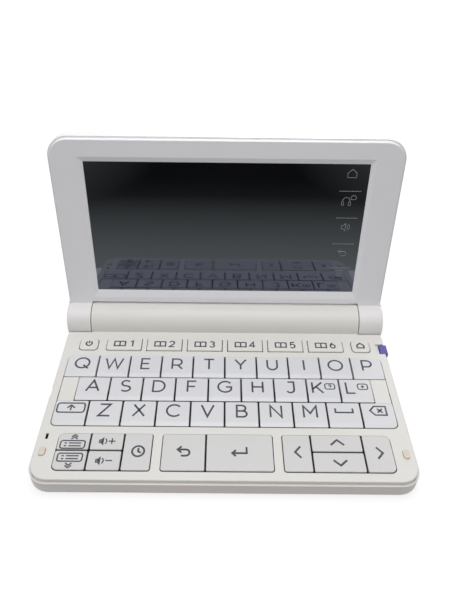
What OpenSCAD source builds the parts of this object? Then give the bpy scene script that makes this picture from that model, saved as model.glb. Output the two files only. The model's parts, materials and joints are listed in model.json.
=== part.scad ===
// Electronic dictionary: a clamshell with a keyboard in the base and a touch screen in the lid.
// Sizes are in millimetres. +Z is up, the user sits at -Y, and the lid stands open.
// Everything is drawn round the middle of the closed case and then moved to the part's origin,
// which is the middle of the open part's footprint, on the desk.

/* [Case] */
// Width of the case
case_w = 148; // [144:0.5:170]
// Depth from the front edge to the middle of the hinge barrel
case_d = 87.4; // [84:0.2:96]
// Height of the deck above the desk
deck_z = 9; // [8.8:0.1:10]
// Radius of the base's front corners, seen from above
base_corner = 8; // [5:0.5:10]
// Radius along the bottom edge of the base
edge_round = 1.5; // [1:0.1:3]
// Thickness of the case's walls
wall = 1.6; // [1.2:0.1:2]
// Thickness of the floor
floor_t = 1.3; // [1:0.1:1.6]
// Thickness of the deck plate
deck_t = 1.4; // [1:0.1:1.6]
// Height of the seam under the deck's edge
seam_drop = 1.8; // [1.6:0.1:2.4]
// Step between the upper and the lower shell at the seam
seam_step = 0.8; // [0.3:0.1:1.2]
// Height of the rubber feet under the floor
foot_h = 0.7; // [0.5:0.1:1.5]
// Radius of a rubber foot
foot_r = 4; // [3:0.5:6]

/* [Hinge barrel] */
// Radius of a cell
cell_r = 7.1; // [6.6:0.05:7.6]
// Length of a cell
cell_len = 50.5; // [49:0.1:52]
// Gap between a cell and the battery bay
cell_gap = 0.35; // [0.2:0.05:0.5]
// Room for the spring contact at each end of the battery bay
contact_room = 2.5; // [2:0.1:4]
// Height of the barrel's underside above the desk
barrel_lift = 0.8; // [0.7:0.1:1.6]
// Width of the lid's knuckles at the ends of the barrel
knuckle_w = 11.1; // [9:0.1:12]
// Thickness of the battery cover and of the barrel's shell
barrel_wall = 1.15; // [0.9:0.05:1.3]
// Drop from the top of the battery bay to the battery cover's upper edge
cover_drop = 0.85; // [0.5:0.05:1.2]
// Radius of the steel hinge pins
pin_r = 1.5; // [1:0.1:2.5]
// Plastic between a hinge pin and the battery bay
pin_wall = 1.9; // [1:0.1:3]
// Plastic beyond the outer end of a hinge pin
pin_cover = 3.1; // [2:0.1:5]

/* [Lid] */
// How far the lid stands open, measured from shut
lid_angle = 98.8; // [0:0.1:150]
// Radius of the lid's free corners
lid_corner = 9; // [6:0.5:12]
// Radius along the lid's back edge and round its knuckles
lid_round = 1; // [0.5:0.1:3]
// Thickness of the lid's back wall
lid_wall = 1.2; // [1:0.1:1.6]
// Width of the slot between the lid's face and the barrel, beside the hinge clearance
slot_w = 0.6; // [0.2:0.1:1.2]
// Gap between the deck and the face of the shut lid
shut_gap = 0.9; // [0.9:0.1:1.4]
// Depth of the screen glass below the lid's face
glass_recess = 0.8; // [0.5:0.1:1.1]
// Width of the visible screen
screen_w = 119; // [110:0.5:122]
// Distance from the lid's free edge to the visible screen
screen_margin = 10.2; // [8:0.1:12]
// Distance from the visible screen to the lid's hinge end
screen_low = 6.7; // [5.5:0.1:9]
// Width of the sloped frame at the sides and the top of the screen
bevel_w = 2.2; // [1:0.1:3]
// Width of the sloped frame below the screen
bevel_low = 3.6; // [1:0.1:4]
// Thickness of the touch glass
glass_t = 1; // [0.7:0.1:1.1]
// Thickness of the display panel
lcd_t = 3; // [2:0.1:3.2]

/* [Keyboard] */
// Deck at each side of the letter keys
side_margin = 4; // [3:0.1:6]
// Deck in front of the bottom keys
front_margin = 4.4; // [3:0.1:6]
// Deck between the bottom keys and the letter keys
group_space = 3.39; // [2:0.01:4]
// Deck between the letter keys and the function keys
function_space = 3.1; // [2:0.1:4]
// Deck behind the function keys
rear_margin = 4.4; // [4.2:0.1:6]
// Width of the gap between two keys
key_gap = 0.7; // [0.6:0.05:0.9]
// How far the keys stand above the deck
key_proud = 0.5; // [0.3:0.05:0.55]
// How far a key travels
key_travel = 0.6; // [0.4:0.05:0.6]
// Thickness of a key cap
cap_t = 1.7; // [1.4:0.1:1.8]
// Radius of a cap's plain corners
cap_corner = 0.5; // [0.35:0.05:0.6]
// Chamfer round the top of a cap
cap_chamfer = 0.15; // [0.05:0.05:0.3]
// Depth of the slope at the front of a letter key
key_slope = 1.8; // [0.5:0.1:2.5]
// How far that slope drops
slope_drop = 0.35; // [0.2:0.05:0.5]
// Radius where a group of keys has a rounded corner
group_corner = 2.5; // [1:0.1:3]
// Height of the upper keys in the bottom groups
upper_key_d = 8; // [7:0.1:9]
// Height of the lower keys in the bottom groups
lower_key_d = 8.9; // [7:0.1:9.2]
// Front to back size of the function keys
function_d = 7.6; // [6:0.1:7.8]
// Width of the power key and of the home key
end_key_w = 8.8; // [7:0.1:9]
// Deck outside the power key and the home key
end_margin = 7.3; // [6:0.1:9]
// Deck between the shortcut keys and the keys at their ends
row_space = 3.55; // [2:0.05:5]
// Deck between two shortcut keys
shortcut_gap = 2.06; // [1:0.02:3]

/* [Inside] */
// Thickness of the circuit board
board_t = 0.8; // [0.6:0.1:1]
// Thickness of the rubber key sheet
sheet_t = 0.4; // [0.3:0.05:0.5]
// Radius of the speaker
speaker_r = 9; // [6:0.5:10]
// Radius of a screw's shank
screw_r = 0.75; // [0.6:0.05:0.8]
// Radius of a screw's head
screw_head_r = 1.6; // [1.3:0.1:1.8]
// Depth of the seat for a screw's head
screw_head_h = 0.9; // [0.6:0.1:1]
// Radius of the earphone socket's bore
jack_r = 1.8; // [1.76:0.01:1.9]

/* [Stylus] */
// Width of the stylus
stylus_w = 5.4; // [4:0.1:6]
// Length of the stylus
stylus_len = 92; // [70:1:110]
// Length of the stylus head
head_len = 3.3; // [2.5:0.1:5]

/* [Hidden] */
$fn = 64;

// Clearances
moving_gap = 0.3;
running_gap = 0.05;
fit_gap = 0.1;
shut_clear = 0.4;
// How far joined solids run into each other, and how far a cut runs past its face
lap = 0.1;
beyond = 1;

// Main places, from the middle of the closed case
half_w = case_w / 2;
barrel_r = cell_r + cell_gap + barrel_wall;
front_y = -(case_d + barrel_r) / 2;
hinge_y = front_y + case_d;
hinge_z = barrel_lift + barrel_r;
wall_end = hinge_y - barrel_r - shut_clear;
seam_z = deck_z - seam_drop;
floor_z = foot_h + floor_t;
deck_under = deck_z - deck_t;
bay_r = cell_r + cell_gap;
knuckle_x = half_w - knuckle_w;
barrel_half = knuckle_x - shut_clear;
bay_len = 2 * (cell_len + contact_room);
bay_half = bay_len / 2;
cover_rise = bay_r - cover_drop;
pin_start = bay_half + pin_wall;
pin_len = half_w - pin_cover - pin_start;

// The lid, drawn shut and then turned open about the hinge
lid_face_z = deck_z + shut_gap;
lid_seam_z = lid_face_z + seam_drop;
lid_back_z = hinge_z + barrel_r;
screen_front = front_y + screen_margin;
screen_h = wall_end - screen_low - screen_front;
lid_end_t = 3;
cavity_rear = wall_end - lid_end_t;
lid_end_round = 1.2;
face_round = 0.5;
glass_lap = 1.6;
glass_z = lid_face_z + glass_recess;
lcd_z = glass_z + glass_t;

// The open lid's furthest point behind the hinge sets the middle of the footprint
round_v = case_d - lid_round;
round_w = lid_back_z - lid_round - hinge_z;
open_reach = -round_v * cos(lid_angle) + round_w * sin(lid_angle) + lid_round;
rear_y = hinge_y + max(barrel_r, open_reach);
centre_y = (front_y + rear_y) / 2;

// Keys
key_pitch = (case_w - 2 * side_margin) / 10;
field_half = 5 * key_pitch;
function_front = wall_end - rear_margin - function_d;
function_rear = function_front + function_d;
group_front = front_y + front_margin;
group_mid = group_front + lower_key_d;
group_rear = group_mid + upper_key_d;
field_rear = function_front - function_space;
row_pitch = (field_rear - group_rear - group_space) / 3;
cap_top = deck_z + key_proud;
cap_under = cap_top - cap_t;
plunger_size = 4.5;
plunger_drop = 0.6;
plunger_low = cap_under - plunger_drop;
dome_r = 2.6;
dome_h = 0.3;
dome_top = plunger_low - key_travel - moving_gap;
sheet_z = dome_top - dome_h - sheet_t;
board_z = sheet_z - board_t;
blank_groove = 0.35;
blank_groove_d = 1;

// The row of shortcut keys between the power key and the home key
end_key_x = half_w - end_margin - end_key_w;
shortcut_span = 2 * (end_key_x - row_space);
shortcut_w = (shortcut_span - 5 * shortcut_gap) / 6;
shortcut_pitch = shortcut_w + shortcut_gap;

// Places on the case. An inset is measured from the side and from the front or rear end.
function at_front(inset) = [half_w - inset[0], front_y + inset[1]];
function at_rear(inset) = [half_w - inset[0], wall_end - inset[1]];
function both_sides(spots) = [for (side = [-1, 1]) for (spot = spots) [side * spot[0], spot[1]]];
front_screw = [4.8, 6.4];
rear_screw = [4.4, 3.4];
middle_screw = 3.2;
screw_spots = both_sides([
  at_front(front_screw), at_rear(rear_screw), [2 * shortcut_pitch, wall_end - middle_screw]]);
front_foot = [12, 11];
rear_foot = [18, 10.4];
foot_spots = both_sides([at_front(front_foot), at_rear(rear_foot)]);
pad_inset = [4.1, 12.8];
pad_spot = at_front(pad_inset);
pad_size = [2.4, 3.9];
pad_h = shut_gap - moving_gap;
pad_seat = 0.5;
pad_corner = 1.1;
mic_inset = [4.3, 19.9];
mic_spot = at_front(mic_inset);
mic_size = [1.1, 2.6];

// Inside
board_side = 7.8;
board_ends = [3.5, 6];
board_half = half_w - board_side;
board_front = front_y + board_ends[0];
board_rear = wall_end - board_ends[1];
boss_r = 1.5;
post_r = 2.2;
post_top = board_z - 2 * fit_gap;
speaker_inset = [34, 42];
speaker_spot = at_front(speaker_inset);
speaker_slot = [1.2, 12];
speaker_slot_pitch = 2.6;
rib_t = 1;
rib_inset = 6.2;
rib_half = board_half - rib_inset;
front_rib = 6;
speaker_room = 4;
rib_spots = [
  front_y + front_rib,
  speaker_spot[1] - speaker_r - speaker_room - rib_t,
  speaker_spot[1] + speaker_r + speaker_room
];
lid_rib_inset = 3.5;
lid_rib_half = screen_w / 2 - lid_rib_inset;
front_lid_rib = 18;
middle_lid_rib = 42;
rear_lid_rib = 14.4;
lid_rib_spots = [front_y + front_lid_rib, front_y + middle_lid_rib, wall_end - rear_lid_rib];
// Each chip is its left edge, its distance behind the front edge and its size
chips = [[10, 14, 12], [30, 16, 9]];
chip_h = 1.1;
contact_r = 5;
contact_t = 0.5;
contact_spring_r = 2.5;
grip_r = 0.4;
grip_len = 24;
grip_depth = 0.25;

// Shallow recess in the front face, at the left
recess_w = 17.6;
recess_inset = 27.1;
recess_x = recess_inset - half_w;
recess_top = 3.4;
recess_depth = 0.4;
recess_corner = 1.5;

// Sockets in the left side
jack_body = [11.9, 6, deck_under - floor_z - 6 * fit_gap];
jack_inset = 44;
jack_y = front_y + jack_inset;
jack_z = floor_z + fit_gap + jack_body[2] / 2;
jack_wall = 0.6;
jack_nose_r = jack_r + jack_wall;
jack_len = 13.4;
skirt_room = 1.3;
socket_inset = 0.4;
charge_inset = 23;
charge_y = front_y + charge_inset;
charge_size = [6, 7.4, board_z - floor_z - 2 * fit_gap];
charge_shell = 0.35;
charge_depth = 4.5;
blade_size = [3.6, 4, 0.6];
tongue_room = 1.6;

// Stylus, in the base under the function keys at the right
stylus_inset = 9.4;
stylus_y = wall_end - stylus_inset;
stylus_z = floor_z + moving_gap;
stylus_t = board_z - moving_gap - stylus_z;
head_w = stylus_w + 0.2;
head_top = deck_z - moving_gap;
head_proud = 0.4;
head_x = half_w + head_proud - head_len;
head_room = 5;
notch_half = head_w / 2 + moving_gap;
nail_pocket = 1.5;
nail_depth = 1;

// Each key is a name, the four edges of its cell, the radii of the cell's corners, given as
// front left, front right, rear right, rear left, and the depth of the slope at its front.
function cell_of(name, x0, x1, y0, y1, radii = [0, 0, 0, 0], slope = 0) =
  [name, x0, x1, y0, y1, radii, slope];

letter_rows = [
  ["q", "w", "e", "r", "t", "y", "u", "i", "o", "p"],
  ["a", "s", "d", "f", "g", "h", "j", "k", "l"],
  ["shift", "z", "x", "c", "v", "b", "n", "m", "space", "delete"]
];
function row_left(row) = -len(letter_rows[row]) * key_pitch / 2;
function row_rear(row) = field_rear - row * row_pitch;
function letter_radii(row, i) =
  row == 0 && i == 0 ? [0, 0, 0, group_corner]
  : row == 0 && i == 9 ? [0, 0, group_corner, 0]
  : row == 2 && i == 0 ? [group_corner, 0, 0, 0]
  : row == 2 && i == 9 ? [0, group_corner, 0, 0]
  : [0, 0, 0, 0];
letter_cells = [
  for (row = [0:2])
    for (i = [0:len(letter_rows[row]) - 1])
      cell_of(str("key_", letter_rows[row][i]),
        row_left(row) + i * key_pitch, row_left(row) + (i + 1) * key_pitch,
        row_rear(row + 1), row_rear(row), letter_radii(row, i), key_slope)
];

// Side edges of the three bottom groups, counted in letter keys from the middle
left_x = key_pitch * [-4.643, -3.725, -2.793, -1.986];
middle_x = key_pitch * [-1.736, -0.514, 1.354];
right_x = key_pitch * [1.593, 2.4, 3.832, 4.643];
small_corner = 1.2;
bottom_cells = [
  cell_of("key_previous", left_x[0], left_x[1], group_mid, group_rear, [0, 0, 0, group_corner]),
  cell_of("key_next", left_x[0], left_x[1], group_front, group_mid, [group_corner, 0, 0, 0]),
  cell_of("key_volume_up", left_x[1], left_x[2], group_mid, group_rear),
  cell_of("key_volume_down", left_x[1], left_x[2], group_front, group_mid),
  cell_of("key_history", left_x[2], left_x[3], group_front, group_rear,
    [0, small_corner, small_corner, 0]),
  cell_of("key_back", middle_x[0], middle_x[1], group_front, group_rear,
    [small_corner, 0, 0, small_corner]),
  cell_of("key_enter", middle_x[1], middle_x[2], group_front, group_rear,
    [0, small_corner, small_corner, 0]),
  cell_of("key_left", right_x[0], right_x[1], group_front, group_rear,
    [small_corner, 0, 0, small_corner]),
  cell_of("key_up", right_x[1], right_x[2], group_mid, group_rear),
  cell_of("key_down", right_x[1], right_x[2], group_front, group_mid),
  cell_of("key_right", right_x[2], right_x[3], group_front, group_rear,
    [0, group_corner, group_corner, 0])
];

end_radii = [2, 2, 2, 2];
end_cells = [
  cell_of("key_power", -end_key_x - end_key_w, -end_key_x, function_front, function_rear, end_radii),
  cell_of("key_home", end_key_x, end_key_x + end_key_w, function_front, function_rear, end_radii)
];
shortcut_cells = [
  for (i = [0:5])
    let (x0 = -shortcut_span / 2 + i * shortcut_pitch)
      cell_of("shortcut", x0, x0 + shortcut_w, function_front, function_rear,
        i == 0 ? [small_corner, 0, 0, small_corner]
        : i == 5 ? [0, small_corner, small_corner, 0]
        : [0, 0, 0, 0])
];
single_cells = concat(end_cells, letter_cells, bottom_cells);
all_cells = concat(single_cells, shortcut_cells);

// Moves what is drawn round the closed case to the part's origin
module placed() {
  translate([0, -centre_y, 0])
    children();
}

// Turns what is drawn on the shut lid to where the open lid stands
module on_lid() {
  translate([0, hinge_y - centre_y, hinge_z])
    rotate([-lid_angle, 0, 0])
      translate([0, -hinge_y, -hinge_z])
        children();
}

// A cylinder along X that begins at start
module along_x(r, length, start) {
  translate([start, 0, 0])
    rotate([0, 90, 0])
      cylinder(r = r, h = length);
}

// Sweeps an edge profile round three sides of a slab that is open at the rear.
// The profile's x runs from the centre of the corner radius to the outer face.
module swept(half, front, rear, corner) {
  inner = half - corner;
  for (side = [0, 1])
    mirror([side, 0, 0]) {
      translate([inner, rear, 0])
        rotate([90, 0, 0])
          linear_extrude(rear - front - corner)
            children();
      translate([inner, front + corner, 0])
        rotate([0, 0, -90])
          rotate_extrude(angle = 90)
            children();
    }
  translate([inner, front + corner, 0])
    rotate([90, 0, -90])
      linear_extrude(2 * inner)
        children();
}

// The solid middle that goes with a swept edge
module slab_core(half, front, rear, corner, low, high) {
  translate([corner - half, front + corner, low])
    cube([2 * (half - corner), rear - front - corner, high - low]);
}

// A wall profile with one rounded outer corner: up = 1 rounds the top one, up = 0 the bottom one
module edge_profile(outer, low, high, r, up) {
  round_z = up == 1 ? high - r : low + r;
  translate([0, up == 1 ? low : low + r])
    square([outer, high - low - r]);
  translate([0, low])
    square([outer - r, high - low]);
  translate([outer - r, round_z])
    circle(r);
}

// A rectangle whose four corners each have their own radius, 0 for a square one
module cell_outline(x0, x1, y0, y1, radii) {
  corners = [[x0, y0, 1, 1], [x1, y0, -1, 1], [x1, y1, -1, -1], [x0, y1, 1, -1]];
  difference() {
    translate([x0, y0])
      square([x1 - x0, y1 - y0]);
    for (i = [0:3])
      if (radii[i] > 0)
        translate([corners[i][0], corners[i][1]])
          difference() {
            square(2 * radii[i], center = true);
            translate([corners[i][2] * radii[i], corners[i][3] * radii[i]])
              circle(radii[i]);
          }
  }
}

// One key: a cap with a chamfered top, which on a letter key slopes down at the front,
// and a plunger that meets the dome below
module key(cell) {
  inset = key_gap / 2;
  corners = [
    [cell[1] + inset, cell[3] + inset, 1, 1],
    [cell[2] - inset, cell[3] + inset, -1, 1],
    [cell[2] - inset, cell[4] - inset, -1, -1],
    [cell[1] + inset, cell[4] - inset, 1, -1]
  ];
  color("whitesmoke")
    placed() {
      hull()
        for (i = [0:3]) {
          r = max(cap_corner, cell[5][i] - inset);
          slope = i < 2 ? cell[6] : 0;
          translate([corners[i][0] + corners[i][2] * r, corners[i][1] + corners[i][3] * r, cap_under]) {
            cylinder(r = r, h = cap_t - (slope > 0 ? slope_drop : cap_chamfer), $fn = 16);
            translate([0, slope, 0])
              cylinder(r = r - cap_chamfer, h = cap_t, $fn = 16);
          }
        }
      translate([(cell[1] + cell[2] - plunger_size) / 2, (cell[3] + cell[4] - plunger_size) / 2,
        plunger_low])
        cube([plunger_size, plunger_size, plunger_drop + lap]);
    }
}

module shortcut_keys() {
  for (cell = shortcut_cells)
    key(cell);
}

// The grooves that set off the blank places at the ends of the middle letter row
module blank_grooves() {
  for (side = [-1, 1])
    translate([side * (field_half - blank_groove / 2) - blank_groove / 2, row_rear(2),
      deck_z - blank_groove_d])
      cube([blank_groove, row_pitch, blank_groove_d + beyond]);
}

// The outline of a pad, or of its seat with some room
module pad_outline(room) {
  cell_outline(-pad_size[0] / 2 - room, pad_size[0] / 2 + room,
    -pad_size[1] / 2 - room, pad_size[1] / 2 + room, [for (i = [0:3]) pad_corner + room]);
}

// Where the stylus head sits in the right edge of the case
module stylus_notch(low, high) {
  translate([head_x - moving_gap, stylus_y - notch_half, low])
    cube([half_w, 2 * notch_half, high - low]);
}

// Front and top of the barrel, open below and behind, with the strip of deck that leads to it
module barrel_shell() {
  difference() {
    union() {
      intersection() {
        translate([0, hinge_y, hinge_z])
          along_x(barrel_r, bay_len + 2 * lap, -bay_half - lap);
        union() {
          translate([-half_w, 0, seam_z])
            cube([case_w, hinge_y - moving_gap, 2 * barrel_r]);
          translate([-half_w, 0, hinge_z + cover_rise + moving_gap])
            cube([case_w, hinge_y + barrel_r, barrel_r]);
        }
      }
      translate([-barrel_half, wall_end - lap, seam_z])
        cube([2 * barrel_half, 2, deck_z - seam_z]);
    }
    translate([0, hinge_y, hinge_z])
      along_x(bay_r, bay_len, -bay_half);
  }
}

module top_case() {
  top_half = half_w - seam_step;
  top_corner = base_corner - seam_step;
  skirt = base_corner - wall - fit_gap;
  skirt_t = 1;
  skirt_low = seam_z - 1.2;
  pocket_wall = 1;
  color("white")
    placed()
      difference() {
        union() {
          swept(top_half, front_y + seam_step, wall_end, top_corner)
            union() {
              edge_profile(top_corner, deck_under, deck_z, face_round, 1);
              translate([top_corner - wall, seam_z])
                square([wall, deck_under - seam_z + lap]);
            }
          swept(top_half, front_y + seam_step, wall_end - wall - fit_gap, top_corner)
            translate([skirt - skirt_t, skirt_low])
              square([skirt_t, deck_under - skirt_low + lap]);
          translate([-top_half, wall_end - wall, seam_z])
            cube([2 * top_half, wall, deck_under - seam_z + lap]);
          slab_core(top_half, front_y + seam_step, wall_end, top_corner, deck_under, deck_z);
          // Thicker deck under the nail pocket
          translate([head_x - moving_gap - nail_pocket - pocket_wall,
            stylus_y - notch_half - pocket_wall, deck_under - pocket_wall])
            cube([nail_pocket + pocket_wall + lap, 2 * (notch_half + pocket_wall), pocket_wall + lap]);
          // Screw bosses
          for (spot = screw_spots)
            translate([spot[0], spot[1], post_top])
              cylinder(r = boss_r, h = deck_under - post_top + lap);
          barrel_shell();
          // End blocks of the barrel
          for (side = [0, 1])
            mirror([side, 0, 0])
              translate([0, hinge_y, hinge_z])
                along_x(barrel_r, barrel_half - bay_half, bay_half);
        }
        linear_extrude(deck_z + beyond)
          for (cell = all_cells)
            cell_outline(cell[1], cell[2], cell[3], cell[4], cell[5]);
        blank_grooves();
        // Screw pilots
        for (spot = screw_spots)
          translate([spot[0], spot[1], 0])
            cylinder(r = screw_r + running_gap, h = deck_under - 4 * fit_gap);
        // Pin bores
        for (side = [0, 1])
          mirror([side, 0, 0])
            translate([0, hinge_y, hinge_z])
              along_x(pin_r + running_gap, pin_len, pin_start);
        // Lid pad seats and the microphone's slot
        for (side = [-1, 1])
          translate([side * pad_spot[0], pad_spot[1], deck_z - pad_seat])
            linear_extrude(pad_seat + beyond)
              pad_outline(fit_gap);
        translate([-mic_spot[0] - mic_size[0] / 2, mic_spot[1] - mic_size[1] / 2, 0])
          cube([mic_size[0], mic_size[1], deck_z + beyond]);
        // Stylus notch and the pocket for a fingernail
        stylus_notch(0, deck_z + beyond);
        translate([head_x - moving_gap - nail_pocket, stylus_y - notch_half, deck_z - nail_depth])
          cube([nail_pocket + beyond, 2 * notch_half, nail_depth + beyond]);
        // Room round the earphone socket's nose
        translate([0, jack_y, jack_z])
          along_x(jack_nose_r + fit_gap, wall + skirt_room + skirt_t + beyond, -half_w - beyond);
      }
}

module lower_case() {
  color("white")
    placed()
      difference() {
        union() {
          difference() {
            union() {
              swept(half_w, front_y, wall_end, base_corner)
                edge_profile(base_corner, foot_h, seam_z, edge_round, 0);
              slab_core(half_w, front_y, wall_end, base_corner, foot_h, seam_z);
              // Cradle under the barrel, cut short where the barrel's end blocks come down
              translate([-bay_half, wall_end - lap, barrel_lift])
                cube([bay_len, hinge_y - moving_gap - wall_end + lap, seam_z - barrel_lift]);
              translate([-barrel_half, wall_end - lap, barrel_lift])
                cube([2 * barrel_half, barrel_r / 3, seam_z - barrel_lift]);
            }
            swept(half_w - wall, front_y + wall, wall_end - wall, base_corner - wall)
              edge_profile(base_corner - wall, floor_z, deck_z, 1, 0);
            slab_core(half_w - wall, front_y + wall, wall_end - wall, base_corner - wall, floor_z, deck_z);
          }
          // Screw posts
          for (spot = screw_spots)
            translate([spot[0], spot[1], floor_z - lap])
              cylinder(r = post_r, h = post_top - floor_z + lap);
          // Ribs that carry the board
          for (y = rib_spots)
            translate([-rib_half, y, floor_z - lap])
              cube([2 * rib_half, rib_t, board_z - floor_z + lap]);
          // Walls of the stylus bay
          for (side = [-1, 1])
            translate([head_x - stylus_len,
              stylus_y + side * (stylus_w + rib_t + 2 * moving_gap) / 2 - rib_t / 2, floor_z - lap])
              cube([stylus_len - head_room, rib_t, board_z - floor_z + lap]);
        }
        // Battery bay and the barrel's end blocks
        translate([0, hinge_y, hinge_z])
          along_x(bay_r, bay_len, -bay_half);
        for (side = [0, 1])
          mirror([side, 0, 0])
            translate([0, hinge_y, hinge_z])
              along_x(barrel_r + running_gap, barrel_half - bay_half + 1, bay_half);
        // Screw holes and the seats of the screw heads
        for (spot = screw_spots)
          translate([spot[0], spot[1], 0]) {
            cylinder(r = screw_r + fit_gap, h = post_top + beyond);
            cylinder(r = screw_head_r + fit_gap, h = foot_h + screw_head_h);
          }
        // Speaker slots
        for (i = [-2:2])
          translate([-speaker_spot[0] + i * speaker_slot_pitch - speaker_slot[0] / 2,
            speaker_spot[1] - speaker_slot[1] / 2, 0])
            cube([speaker_slot[0], speaker_slot[1], floor_z + beyond]);
        // Earphone and charging sockets in the left wall
        translate([0, jack_y, jack_z])
          along_x(jack_nose_r + fit_gap, wall + skirt_room + 2 * beyond, -half_w - beyond);
        translate([-half_w - beyond, jack_y - jack_nose_r - fit_gap, jack_z])
          cube([wall + 2 * beyond, 2 * (jack_nose_r + fit_gap), deck_z]);
        translate([-half_w - beyond, charge_y - charge_size[1] / 2 - fit_gap,
          board_z - charge_size[2] - fit_gap])
          cube([wall + 2 * beyond, charge_size[1] + 2 * fit_gap, charge_size[2] + 2 * fit_gap]);
        stylus_notch(floor_z, deck_z + beyond);
        // Shallow recess in the front face
        translate([0, front_y + recess_depth, 0])
          rotate([90, 0, 0])
            linear_extrude(recess_depth + beyond)
              cell_outline(recess_x, recess_x + recess_w, 0, recess_top,
                [0, 0, recess_corner, recess_corner]);
      }
}

module battery_cover() {
  cover_len = bay_len - 2 * moving_gap;
  color("white")
    placed()
      difference() {
        intersection() {
          translate([0, hinge_y, hinge_z])
            along_x(barrel_r, cover_len, -cover_len / 2);
          translate([-half_w, hinge_y, hinge_z - 2 * barrel_r])
            cube([case_w, 2 * barrel_r, 2 * barrel_r + cover_rise]);
        }
        translate([0, hinge_y, hinge_z])
          along_x(bay_r, case_w, -half_w);
        // Grip grooves where a thumb pushes the cover off
        for (angle = [-45:9:-9])
          translate([0, hinge_y + (barrel_r + grip_r - grip_depth) * cos(angle),
            hinge_z + (barrel_r + grip_r - grip_depth) * sin(angle)])
            along_x(grip_r, grip_len, -grip_len / 2);
      }
}

module batteries() {
  color("dimgray")
    placed()
      for (start = [-cell_len - fit_gap / 2, fit_gap / 2])
        translate([0, hinge_y, hinge_z])
          along_x(cell_r, cell_len, start);
}

module battery_contacts() {
  spring_start = cell_len + 1.5 * fit_gap;
  color("silver")
    placed()
      for (side = [0, 1])
        mirror([side, 0, 0])
          translate([0, hinge_y, hinge_z]) {
            along_x(contact_r, contact_t, bay_half - fit_gap - contact_t);
            along_x(contact_spring_r, bay_half - contact_t - spring_start, spring_start);
          }
}

module circuit_board() {
  color("seagreen")
    placed()
      difference() {
        union() {
          translate([-board_half, board_front, board_z])
            cube([2 * board_half, board_rear - board_front, board_t]);
          // Tongue that carries the charging socket
          translate([-half_w + wall + tongue_room, charge_y - charge_size[1] / 2, board_z])
            cube([half_w - wall - tongue_room - board_half + lap, charge_size[1], board_t]);
          translate([-half_w + socket_inset, charge_y - charge_size[1] / 2, board_z - charge_size[2]])
            cube(charge_size);
          // Processor and memory under the board
          for (chip = chips)
            translate([chip[0], front_y + chip[1], board_z - chip_h])
              cube([chip[2], chip[2], chip_h + lap]);
          // Earphone socket, set into the board's edge
          translate([-half_w + wall + skirt_room, jack_y - jack_body[1] / 2, floor_z + fit_gap])
            cube(jack_body);
          translate([0, jack_y, jack_z])
            along_x(jack_nose_r, wall + skirt_room, -half_w + socket_inset);
        }
        translate([0, jack_y, jack_z])
          along_x(jack_r, jack_len, -half_w + socket_inset - lap);
        // Mouth of the charging socket, with its blade left standing
        difference() {
          translate([-half_w + socket_inset - lap, charge_y - charge_size[1] / 2 + charge_shell,
            board_z - charge_size[2] + charge_shell])
            cube([charge_depth + lap, charge_size[1] - 2 * charge_shell,
              charge_size[2] - 2 * charge_shell]);
          translate([-half_w + socket_inset + charge_depth - blade_size[0], charge_y - blade_size[1] / 2,
            board_z - (charge_size[2] + blade_size[2]) / 2])
            cube(blade_size + [lap, 0, 0]);
        }
      }
}

module key_sheet() {
  color("gainsboro")
    placed() {
      difference() {
        translate([-board_half, board_front, sheet_z])
          cube([2 * board_half, board_rear - board_front, sheet_t]);
        translate([-half_w, jack_y - jack_body[1] / 2 - 2 * fit_gap, 0])
          cube([wall + skirt_room + jack_body[0] + 2 * fit_gap, jack_body[1] + 4 * fit_gap, deck_z]);
      }
      for (cell = all_cells)
        translate([(cell[1] + cell[2]) / 2, (cell[3] + cell[4]) / 2, sheet_z + sheet_t - lap])
          cylinder(r = dome_r, h = dome_top - sheet_z - sheet_t + lap, $fn = 24);
    }
}

module speaker() {
  color("darkslategray")
    placed()
      translate([-speaker_spot[0], speaker_spot[1], floor_z])
        cylinder(r = speaker_r, h = board_z - floor_z - moving_gap);
}

module case_screws() {
  color("silver")
    placed()
      for (spot = screw_spots)
        translate([spot[0], spot[1], foot_h + fit_gap]) {
          cylinder(r = screw_head_r, h = screw_head_h - fit_gap);
          cylinder(r = screw_r, h = deck_under - foot_h - 8 * fit_gap);
        }
}

module rubber_feet() {
  color("lightgray")
    placed()
      for (spot = foot_spots)
        translate([spot[0], spot[1], 0])
          cylinder(r = foot_r, h = foot_h);
}

module lid_pads() {
  color("bisque")
    placed()
      for (side = [-1, 1])
        translate([side * pad_spot[0], pad_spot[1], deck_z - pad_seat])
          linear_extrude(pad_seat + pad_h)
            pad_outline(0);
}

module hinge_pins() {
  color("silver")
    placed()
      for (side = [0, 1])
        mirror([side, 0, 0])
          translate([0, hinge_y, hinge_z])
            along_x(pin_r, pin_len, pin_start);
}

module stylus() {
  body_x = head_x + head_len;
  color("slateblue")
    placed() {
      translate([body_x - stylus_len + stylus_w / 2, stylus_y - stylus_w / 2, stylus_z])
        cube([stylus_len - stylus_w / 2, stylus_w, stylus_t]);
      translate([body_x - stylus_len + stylus_w / 2, stylus_y, stylus_z])
        cylinder(r = stylus_w / 2, h = stylus_t);
      translate([head_x, stylus_y - head_w / 2, stylus_z])
        cube([head_len, head_w, head_top - stylus_z]);
    }
}

// The right-hand knuckle of the lid, its outer edge rounded like the lid's back
module knuckle() {
  translate([knuckle_x, hinge_y, hinge_z])
    rotate([0, 90, 0])
      rotate_extrude()
        edge_profile(barrel_r, 0, half_w - knuckle_x, lid_round, 1);
  translate([knuckle_x, wall_end, lid_face_z])
    cube([half_w - knuckle_x, hinge_y - wall_end, lid_seam_z - lid_face_z + lap]);
}

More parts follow.
